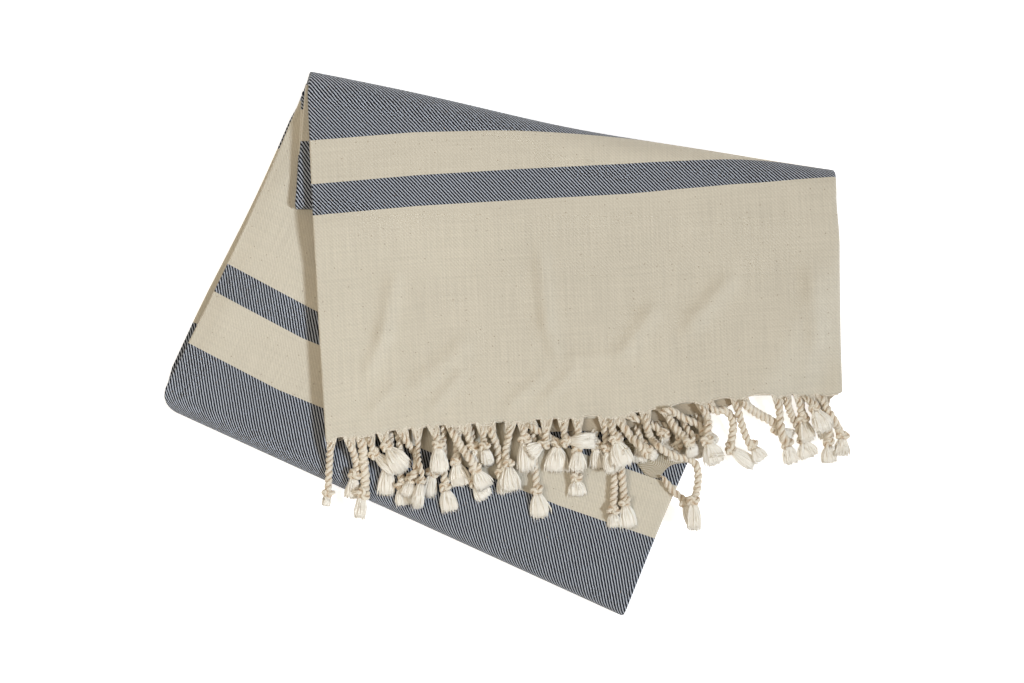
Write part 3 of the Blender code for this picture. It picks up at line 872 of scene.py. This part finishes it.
class Heap:
    """The pile and the floor, and the tassels laid on them so far, as heights on a grid of small squares."""

    def __init__(self, square):
        self.square = square
        self.tops = {}

    def squares(self, x, y, radius):
        """The squares under a ball, each with the height of the ball's surface there over its middle."""
        reach = int(radius / self.square) + 1
        column, row = round(x / self.square), round(y / self.square)
        for i in range(column - reach, column + reach + 1):
            for j in range(row - reach, row + reach + 1):
                off = math.hypot(i * self.square - x, j * self.square - y)
                if off < radius:
                    yield (i, j), math.sqrt(radius**2 - off**2)

    def top(self, spot):
        if spot not in self.tops:
            self.tops[spot] = support(spot[0] * self.square, spot[1] * self.square)
        return self.tops[spot]

    def resting(self, x, y, radius):
        """How high the middle of a ball lies at a plan position, pressed a little into what is below it."""
        rests = [self.top(spot) + rise for spot, rise in self.squares(x, y, radius * SOFTNESS)]
        return max(*rests, support(x, y) + radius)

    def lay(self, point, radius):
        for spot, rise in self.squares(point.x, point.y, radius):
            self.tops[spot] = max(self.top(spot), point.z + rise)


def heading(path, k):
    return (path[min(k + 1, len(path) - 1)] - path[max(k - 1, 0)]).normalized()


def lengths_along(path):
    lengths = [0.0]
    for a, b in zip(path, path[1:]):
        lengths.append(lengths[-1] + (b - a).length)
    return lengths


class Skein:
    """Collects tubes into one mesh, with a UV map of (turns round the tube, metres along it)."""

    def __init__(self, name):
        self.name = name
        self.corners, self.faces, self.spots = [], [], []

    def tube(self, path, radii, sides, flat=1.0, facing=None, yarn=0):
        """Adds a tube along a path. flat squashes it upright, facing gives the way its first side looks in
        each ring, and yarn is a whole number added to its turns, which tells one yarn from the next."""
        first = len(self.corners)
        aside = (path[1] - path[0]).cross(UP)
        if aside.length < 1e-9:
            aside = Vector((1.0, 0.0, 0.0))
        lengths = lengths_along(path)
        for k, (point, radius) in enumerate(zip(path, radii)):
            way = heading(path, k)
            aside = facing[k] if facing else aside
            aside = (aside - way * aside.dot(way)).normalized()
            up = aside.cross(way)
            for i in range(sides):
                angle = math.tau * i / sides
                self.corners.append(
                    point + aside * (math.cos(angle) * radius) + up * (math.sin(angle) * radius * flat)
                )
        for k in range(len(path) - 1):
            for i in range(sides):
                a, b = first + k * sides + i, first + k * sides + (i + 1) % sides
                self.faces.append((a, b, b + sides, a + sides))
                low, high = yarn + i / sides, yarn + (i + 1) / sides
                near, further = lengths[k], lengths[k + 1]
                self.spots += [(low, near), (high, near), (high, further), (low, further)]
        for start, end in ((first, 0.0), (first + (len(path) - 1) * sides, 1.0)):
            ring = list(range(start, start + sides))
            self.faces.append(ring if end else ring[::-1])
            self.spots += [(yarn, lengths[-1] * end)] * sides

    def mesh(self):
        made = bpy.data.meshes.new(self.name)
        made.from_pydata(self.corners, [], self.faces)
        layer = made.uv_layers.new(name="yarn")
        for k, spot in enumerate(self.spots):
            layer.data[k].uv = spot
        made.shade_smooth()
        return made


def hem_point(share, run):
    """Where the middle of a run's centre third ends."""
    u = min(max(share, FIRST_COLUMN), 1 - FIRST_COLUMN) * STRIP_WIDTH
    w = flap_length(u, run)
    x, y = over_fold(u, w, run)
    return Vector((x, y, run["level"] - fall(u, w, run)))


def smooth_route(stops, step):
    """Points along a smooth curve through a route's stops, about a step apart."""
    ends = [stops[0] * 2 - stops[1], *stops, stops[-1] * 2 - stops[-2]]
    points = []
    for before, start, end, after in zip(ends, ends[1:], ends[2:], ends[3:]):
        for t in steps(max(2, round((end - start).length / step))):
            points.append(
                (start * 2 + (end - before) * t + (before * 2 - start * 5 + end * 4 - after) * t**2
                 + (start * 3 - before - end * 3 + after) * t**3) / 2
            )
    return [*points, stops[-1].copy()]


def laid_route(root, route, heap):
    """A cord's middle line: out of the hem and down over whatever lies there, to where its knot lies."""
    stops = [root + Vector((right, -down, 0.0)) / 1000 for right, down in ((0, 0), *route)]
    points = smooth_route(stops, CORD_STEP)
    last = len(points) - 1
    for k, point in enumerate(points):
        near_knot = eased(1 - (last - k) * CORD_STEP / KNOT_RADIUS)
        rest = heap.resting(point.x, point.y, CORD_RADIUS + (KNOT_RADIUS - CORD_RADIUS) * near_knot)
        dropped = eased(k * CORD_STEP / CORD_DROP)
        point.z = max(rest, root.z * (1 - dropped) + rest * dropped)
    for _ in range(CORD_SMOOTHING):
        for k in range(1, last):
            points[k].z = max(points[k].z, (points[k - 1].z + points[k + 1].z) / 2)
    return points


def twisted(cords, path, ply, offset, turn, chance, swells_in=0.0, uneven=0.05):
    """Two plies twisted round each other along a path, at half their thickness where they swell in."""
    start = chance.uniform(0.0, math.tau)
    aside = (path[1] - path[0]).cross(UP).normalized()
    frames = []
    for k in range(len(path)):
        way = heading(path, k)
        aside = (aside - way * aside.dot(way)).normalized()
        frames.append((aside.copy(), aside.cross(way)))
    for strand in (0, 1):
        swell = chance.uniform(0.0, math.tau)
        outward, points, radii = [], [], []
        for point, (side, up), along in zip(path, frames, lengths_along(path)):
            angle = start + math.pi * strand - math.tau * along / turn
            out = side * math.cos(angle) + up * math.sin(angle)
            fat = 1 + uneven * math.sin(swell + along * 900)
            fat *= 0.5 + 0.5 * eased(along / swells_in) if swells_in else 1.0
            outward.append(out)
            points.append(point + out * offset * fat)
            radii.append(ply * fat)
        cords.tube(points, radii, 8, facing=outward, yarn=strand)


def add_knot(cords, centre, way, thick, chance):
    """An overhand knot: the cord again, along a trefoil tipped a little out of the cord's line."""
    side = way.cross(UP).normalized()
    tip = chance.uniform(-0.6, 0.6)
    spin = chance.uniform(-0.5, 0.5)
    size = KNOT_SIZE * thick * chance.uniform(0.92, 1.10)
    axis = (way * math.cos(tip) + side * math.sin(tip)).normalized()
    side = axis.cross(UP).normalized()
    up = side.cross(axis)
    points = []
    for t in steps(52, 0.0, math.tau * 51 / 52):
        across = (math.sin(t + spin) + 2 * math.sin(2 * t + spin)) * size
        over = (math.cos(t + spin) - 2 * math.cos(2 * t + spin)) * size * 0.72
        points.append(centre + side * across + up * over + axis * (math.sin(3 * t) * size * 1.5))
    twisted(cords, points, KNOT_PLY * thick, KNOT_OFFSET * thick, PLY_TURN, chance)
    core = [centre + way * (size * s) for s in (-2.6, -1.6, 0.0, 1.6, 2.6)]
    cords.tube(core, [size * r for r in (0.9, 2.0, 2.6, 2.0, 0.9)], 8)


def add_brush(brushes, heap, knot, way, length, width, chance):
    """The open yarns past the knot: they leave its neck close together, spread, lie down and end unevenly."""
    side = way.cross(UP).normalized()
    stages = (0.0, 0.12, 0.28, 0.50, 0.75, 1.0)
    offs = (-0.6, 0.0, 0.6)

    def opened(t):
        return BRUSH_NECK + (width / 2 - BRUSH_NECK) * math.sin(math.pi / 2 * min(t / BRUSH_OPEN, 1.0))

    heights = []
    for t in stages:
        spots = [knot + way * (t * length) + side * (off * opened(t)) for off in offs]
        rest = max(heap.resting(spot.x, spot.y, BRUSH_THICKNESS * 0.8) for spot in spots)
        heights.append(knot.z + (rest - knot.z) * eased(t * 2))

    def spot(stage, reach, across, over):
        """A place in the brush, at a stage of the way along it."""
        t = stages[stage] * reach
        place = knot + way * (t * length) + side * (across * opened(t))
        place.z = heights[stage] + over * BRUSH_THICKNESS * (0.95 - 0.35 * t)
        return place

    body = [spot(k, BODY_REACH, 0.0, 0.0) for k in range(len(stages))]
    widths = [opened(t * BODY_REACH) * (BODY_WIDTH if t < 1 else BODY_END) for t in stages]
    flat = BODY_FLAT * BRUSH_THICKNESS / opened(BRUSH_OPEN)
    brushes.tube(body, widths, 12, flat=flat, yarn=chance.randrange(YARN_SHADES))
    for k in range(BRUSH_YARNS + LOOSE_FIBRES):
        loose = k >= BRUSH_YARNS
        out = math.sqrt(chance.uniform(0.2, 1.0) if loose else (k + 0.5) / BRUSH_YARNS)
        turn = k * GOLDEN_ANGLE + chance.uniform(-0.3, 0.3)
        across, over = out * math.cos(turn), max(out * math.sin(turn), -0.55)
        reach = chance.uniform(0.95, 1.12) if loose else chance.uniform(0.86, 1.03) - 0.07 * across**2
        swing, curl = chance.uniform(-0.16, 0.16), chance.uniform(-0.07, 0.07)
        points = []
        for stage, t in enumerate(stages):
            strays = across + swing * t * t * (2 if loose else 1) + curl * math.sin(6 * t)
            points.append(spot(stage, reach, strays, over))
        thin = (FIBRE_RADIUS if loose else YARN_RADIUS) * chance.uniform(0.85, 1.15)
        radii = [thin * r for r in (0.9, 1.0, 1.05, 1.1, 1.05, 0.45)]
        brushes.tube(points, radii, 3 if loose else 5, yarn=chance.randrange(YARN_SHADES))
    for stage in range(1, len(stages)):
        for off in offs:
            heap.lay(spot(stage, 1.0, off, 0.0), BRUSH_THICKNESS)


def add_root(cords, share, run, path, thick, chance):
    """The warp ends that come out of the hem beside a cord and gather into it."""
    start_at = min(round(ROOT_LENGTH / CORD_STEP), len(path) - 1)
    way = (path[start_at] - path[0]).normalized()
    side = way.cross(UP).normalized()
    for k in range(ROOT_YARNS):
        off = 2 * k / (ROOT_YARNS - 1) - 1
        start = hem_point(share + off * ROOT_SPREAD / STRIP_WIDTH, run)
        inside = start - Vector((*FLAP_DOWN, 0.0)) * 0.0012
        end = path[start_at] - side * (off * CORD_RADIUS * thick * 0.6) + UP * chance.uniform(-0.001, 0.001)
        middle = start.lerp(end, 0.5) + way * 0.0004 + UP * 0.0003
        yarn = YARN_RADIUS * chance.uniform(0.75, 1.1)
        cords.tube([inside, start, middle, end], [yarn * r for r in (0.8, 1.0, 1.1, 0.9)], 5, facing=[UP] * 4)


def add_tassel(cords, brushes, heap, path, thick, length, lean, width, chance):
    """A cord along its path, its knot and its brush."""
    way = Vector((math.sin(math.radians(lean)), -math.cos(math.radians(lean)), 0.0))
    turn = PLY_TURN * chance.uniform(0.92, 1.08)
    twisted(cords, path, PLY_RADIUS * thick, PLY_OFFSET * thick, turn, chance, swells_in=ROOT_LENGTH)
    knot = path[-1]
    add_knot(cords, knot, way, math.sqrt(thick), chance)
    for point in path[::2]:
        heap.lay(point, CORD_RADIUS * thick)
    heap.lay(knot, KNOT_RADIUS)
    add_brush(brushes, heap, knot + way * NECK_START, way, length / 1000, width / 1000, chance)


def add_skein(skein, material, node):
    return add_piece(skein.name, skein.mesh(), material, "cotton_cord", node)


def add_fringe(cords, brushes, heap, tassels, run, chance):
    for share, route, thick, length, lean, width in tassels:
        path = laid_route(hem_point(share, run), route, heap)
        add_root(cords, share, run, path, thick, chance)
        add_tassel(cords, brushes, heap, path, thick, length, lean, width, chance)


CORD_COLOUR = (0.800, 0.730, 0.610, 1)
CORD_GROOVE_SHADE = (0.520, 0.360, 0.210, 1)
BRUSH_COLOUR = (0.880, 0.840, 0.760, 1)
BRUSH_DEEP = (0.780, 0.720, 0.620, 1)


def cotton_cord():
    """The twisted cords: cream, and browner with painted shade in the grooves between the plies."""
    material, shader, start = new_material("cotton_cord", roughness=0.85, sheen=0.12)
    yarn = start.node("ShaderNodeUVMap", {"uv_map": "yarn"})
    turns = start.node("ShaderNodeSeparateXYZ", Vector=yarn)
    outward = (turns * math.tau).math("COSINE")
    fine = (turns * 6.0 + turns.other(1) * 170.0).wave()
    place = start.node("ShaderNodeTexCoord", output="Object")
    patchy = start.node("ShaderNodeTexNoise", Vector=place, Scale=180.0, Detail=2.0)
    # painted shade: darker where a ply turns inward towards its partner, mottled by noise
    groove_shade = (0.55 - outward * 0.62 - (patchy - 0.5) * 0.9 - fine * 0.08).clipped()
    groove_shade.mixed(CORD_COLOUR, CORD_GROOVE_SHADE).into(shader.inputs["Base Color"])
    start.node("ShaderNodeBump", Strength=0.6, Distance=0.0002, Height=fine).into(shader.inputs["Normal"])
    return material


def brushed_cotton():
    """The open yarns: each a little lighter or darker than the next, and streaked along its fibres."""
    material, shader, start = new_material("brushed_cotton", roughness=0.9, sheen=0.15)
    yarn = start.node("ShaderNodeUVMap", {"uv_map": "yarn"})
    turns = start.node("ShaderNodeSeparateXYZ", Vector=yarn)
    each = start.node("ShaderNodeTexWhiteNoise", {"noise_dimensions": "1D"}, W=turns.math("FLOOR"))
    drawn = start.node("ShaderNodeMapping", Vector=yarn, Scale=(7.0, 90.0, 1.0))
    streak = start.node("ShaderNodeTexNoise", {"noise_dimensions": "2D"}, Vector=drawn, Scale=1.0)
    deep = (each * 0.6 + (streak - 0.5) * 1.6 + 0.1).clipped()
    deep.mixed(BRUSH_COLOUR, BRUSH_DEEP).into(shader.inputs["Base Color"])
    start.node("ShaderNodeBump", Strength=0.5, Distance=0.0002, Height=streak).into(shader.inputs["Normal"])
    return material


fringe_heap = Heap(square=0.0011)
cord_cotton, brush_cotton = cotton_cord(), brushed_cotton()
for place, _ in corner_rows:
    for share in steps(8, 0.0, 1.14):
        fringe_heap.lay(Vector(place(share * CORNER_WIDTH, 0.0)), 2 * THICKNESS)
cords, brushes = Skein("fringe_under_cords"), Skein("fringe_under_brushes")
seeded = random.Random(29)
add_fringe(cords, brushes, fringe_heap, UNDER_TASSELS, UNDER_FLAP, seeded)
corner_root, corner_route, *corner_tassel = CORNER_TASSEL
corner_path = laid_route(Vector(corner_root), corner_route, fringe_heap)
add_tassel(cords, brushes, fringe_heap, corner_path, *corner_tassel, seeded)
under_cords = add_skein(cords, cord_cotton, "fringe_under")
under_brushes = add_skein(brushes, brush_cotton, "fringe_under")


# ---------------------------------------------------------------------------------------------------------
# The front fringe: the same on the cloth's first end, the flap's hem. Its tassels lie over the under ones in
# a tangle, some curled back or drawn aside, and a rolled edge and a few loose threads run between them.

FRONT_TASSELS = (
    (0.010, ((-1.2, 14), (-2.2, 33)), 0.85, 6, -8, 5),
    (0.046, ((3, 10.3), (4.6, 17.6), (3.0, 22.5)), 0.90, 13, -7, 9),
    (0.070, ((1.4, 16), (2.1, 30), (0.6, 35.5)), 1.10, 14, -8, 8),
    (0.085, ((1.5, 5), (3.2, 10.3)), 0.85, 17, 50, 9),
    (0.112, ((1, 3), (2.2, 6.5)), 0.90, 18, 38, 14),
    (0.148, ((5, 7.8), (9.2, 14.1), (9.6, 22.7), (6.4, 28.6)), 0.90, 10, -15, 9),
    (0.180, ((0.4, 15.6), (2.8, 26.5), (2.2, 31.5)), 0.62, 16, -10, 7),
    (0.210, ((2, 4), (3.6, 9.6)), 0.95, 16.5, 0, 12),
    (0.258, ((-0.6, 12), (-1.0, 21)), 0.90, 14, 10, 14),
    (0.272, ((2.6, 6.9), (5.1, 12.0)), 0.90, 9, 30, 9),
    (0.244, ((6.4, 11.0), (12.4, 18.8), (16.0, 26.0)), 1.00, 12, 28, 12),
    (0.304, ((1, 6), (1.9, 12.4)), 0.80, 11, 12, 8),
    (0.319, ((4.8, 14.0), (7.2, 25.5), (7.4, 29.5)), 0.95, 12, 22, 13),
    (0.361, ((-2.6, 12), (-3.4, 20), (-1.6, 24.5)), 0.85, 16, 4, 14),
    (0.384, ((0.3, 4), (1.2, 9.5)), 0.90, 19, 3, 12),
    (0.396, ((5, 3.8), (12, 7.7), (17.8, 12.2)), 0.90, 17, -2, 16),
    (0.430, ((-0.5, 6), (-1.5, 13)), 0.80, 10, -58, 10),
    (0.490, ((0.4, 9), (0, 17)), 0.85, 13, 0, 10),
    (0.462, ((0.5, 6), (1.9, 12.2)), 0.85, 17, 92, 11),
    (0.540, ((1, 9), (2, 18)), 0.85, 14, 15, 11),
    (0.567, ((7.7, 10.5), (14.4, 17.0), (18.0, 20.0)), 1.00, 6, 60, 7),
    (0.553, ((1, 6), (2.6, 12)), 0.90, 17, 20, 15),
    (0.585, ((8, 1.3), (16, 4.5), (23.4, 10)), 0.90, 9, 5, 9),
    (0.619, ((2.5, 12.5), (10.5, 22), (21.5, 27.2), (30.7, 30), (34, 38), (33, 50), (30.5, 55)), 0.90,
     17, 3, 9),
    (0.658, ((4, 8), (9, 14), (14.7, 19.5)), 0.90, 8, 20, 9),
    (0.646, ((7, -0.8), (15.4, 4), (25.6, 8.6), (28.8, 13)), 0.90, 8, 40, 9),
    (0.737, ((6, 4), (11, 3.5), (16, 8), (17, 16), (15, 28)), 0.95, 18, 54, 9),
    (0.724, ((5, 9), (3.8, 22)), 0.90, 15, 24, 14),
    (0.793, ((1, 5), (3.5, 13.7), (7.7, 25), (11.0, 28.2)), 0.88, 9, 32, 10),
    (0.803, ((6, 5), (13, 9.5), (20, 13), (24, 18)), 1.05, 9, 50, 11),
    (0.873, ((1.4, 8), (3, 22), (6.6, 29)), 0.92, 12, 16, 9),
    (0.888, ((4, 10), (8.6, 19), (12, 26.6)), 0.88, 11, 22, 14),
    (0.915, ((1.4, 6), (2.6, 14)), 0.95, 13, 16, 10),
    (0.940, ((5, 9), (10.5, 18), (11, 30.0)), 0.88, 11, 4, 10),
    (0.957, ((5.0, 10.5), (10.8, 19.5), (14.5, 25.4)), 0.95, 11, -2, 10),
    (0.930, ((2, 2.5), (4.4, 7)), 0.80, 15, 28, 14),
)
THREAD_RADIUS, THREAD_LIFT, THREAD_STEPS = 0.00035, 0.0012, 10
HEM_ROLL_RADIUS, HEM_ROLL_POINTS = 0.00055, 320
LOOSE_THREADS = (  # (x, y, length, heading in degrees from right, how far it turns in degrees), all in mm
    (-108.5, -59.5, 9, -30, 95),
    (-107.0, -62.0, 7, 10, 60),
    (-28.0, -48.5, 5, 75, 40),
    (-26.5, -49.5, 4, 110, -60),
    (138.5, -37.0, 6, 150, 30),
    (141.0, -38.0, 5, 170, 40),
    (131.0, -70.5, 9, 2, 6),
    (131.0, -71.6, 9, -3, -8),
    (130.5, -72.6, 10, 4, 8),
    (22.0, -62.0, 8, -20, 70),
    (80.0, -66.0, 7, 200, 50),
)


def add_thread(brushes, heap, x, y, length, towards, turned, chance):
    """A thread that has worked loose from the edge and lies in a curl."""
    points = [Vector((x, y, 0.0)) / 1000]
    for k in range(THREAD_STEPS):
        turn = math.radians(towards + turned * k / (THREAD_STEPS - 1))
        step = Vector((math.cos(turn), math.sin(turn), 0.0)) * length / (1000 * THREAD_STEPS)
        points.append(points[-1] + step)
    for k, point in enumerate(points):
        curl = THREAD_LIFT * math.sin(math.pi * k / THREAD_STEPS)
        point.z = heap.resting(point.x, point.y, THREAD_LIFT) + curl
    brushes.tube(points, [THREAD_RADIUS] * len(points), 4, yarn=chance.randrange(YARN_SHADES))


def add_hem_roll(cords, run, chance):
    """The cloth's edge, where the last picks have rolled up between the cords."""
    points, radii = [], []
    for share in steps(HEM_ROLL_POINTS, 0.006, 0.994):
        points.append(hem_point(share, run) + UP * 0.0001)
        radii.append(HEM_ROLL_RADIUS * chance.uniform(0.8, 1.2))
    cords.tube(points, radii, 6, facing=[UP] * len(points))


cords, brushes = Skein("fringe_front_cords"), Skein("fringe_front_brushes")
seeded = random.Random(11)
add_fringe(cords, brushes, fringe_heap, FRONT_TASSELS, FLAP, seeded)
add_hem_roll(cords, FLAP, seeded)
for thread in LOOSE_THREADS:
    add_thread(brushes, fringe_heap, *thread, seeded)
front_cords = add_skein(cords, cord_cotton, "fringe_front")
front_brushes = add_skein(brushes, brush_cotton, "fringe_front")


# ---------------------------------------------------------------------------------------------------------
# The table, the lights and the camera: a plain white lit ground, soft light from the right, and a camera
# straight above the towel.

FLOOR_SIZE = 6.0
FLOOR_GLOW = 0.64
PHOTO_PIXELS_ACROSS = 1024
PIXEL = 0.00064
PHOTO_CENTRE = (0.0043, 0.0015)
LENS, SENSOR = 135.0, 36.0
LOOK_HEIGHT = 0.020

bpy.ops.object.select_all(action="DESELECT")
bpy.ops.mesh.primitive_plane_add(size=FLOOR_SIZE, location=(0.0, 0.0, 0.0))
floor = bpy.context.active_object
floor.name = "floor"
floor.data.transform(floor.matrix_world)
floor.matrix_world.identity()
white, white_shader, _ = new_material("white_ground", roughness=0.8, sheen=0.0)
white_shader.inputs["Base Color"].default_value = (0.86, 0.86, 0.86, 1)
white_shader.inputs["Emission Color"].default_value = (1.0, 1.0, 1.0, 1)
white_shader.inputs["Emission Strength"].default_value = FLOOR_GLOW
floor.data.materials.append(white)


def soft_light(name, place, aim, size, spread, power, colour):
    """A square lamp that faces a point on the ground. Its beam is weaker towards the edges of its spread."""
    lamp = bpy.data.lights.new(name, "AREA")
    lamp.size = size
    lamp.spread = math.radians(spread)
    lamp.energy = power
    lamp.color = colour
    light = bpy.data.objects.new(name, lamp)
    light.location = place
    light.rotation_euler = (Vector(aim) - Vector(place)).to_track_quat("-Z", "Y").to_euler()
    bpy.context.scene.collection.objects.link(light)


soft_light("key_light", (3.4, -0.8, 4.6), (-2.38, 0.23, 0.0), 0.9, 56, 37.4, (0.80, 0.89, 1.0))
soft_light("fill_light", (-0.65, -0.1, 1.35), (0.0, 0.0, 0.0), 0.8, 180, 7.4, (1.0, 0.93, 0.82))
world = bpy.data.worlds.new("studio")
world.use_nodes = True
world.node_tree.nodes["Background"].inputs["Color"].default_value = (1.0, 0.86, 0.67, 1.0)
world.node_tree.nodes["Background"].inputs["Strength"].default_value = 0.31
bpy.context.scene.world = world
bpy.context.scene.view_settings.view_transform = "Standard"

camera = bpy.data.cameras.new("camera")
camera.lens, camera.sensor_width = LENS, SENSOR
above = LOOK_HEIGHT + PHOTO_PIXELS_ACROSS * PIXEL * LENS / SENSOR
overhead = bpy.data.objects.new("camera", camera)
overhead.location = (*PHOTO_CENTRE, above)
bpy.context.scene.collection.objects.link(overhead)
bpy.context.scene.camera = overhead
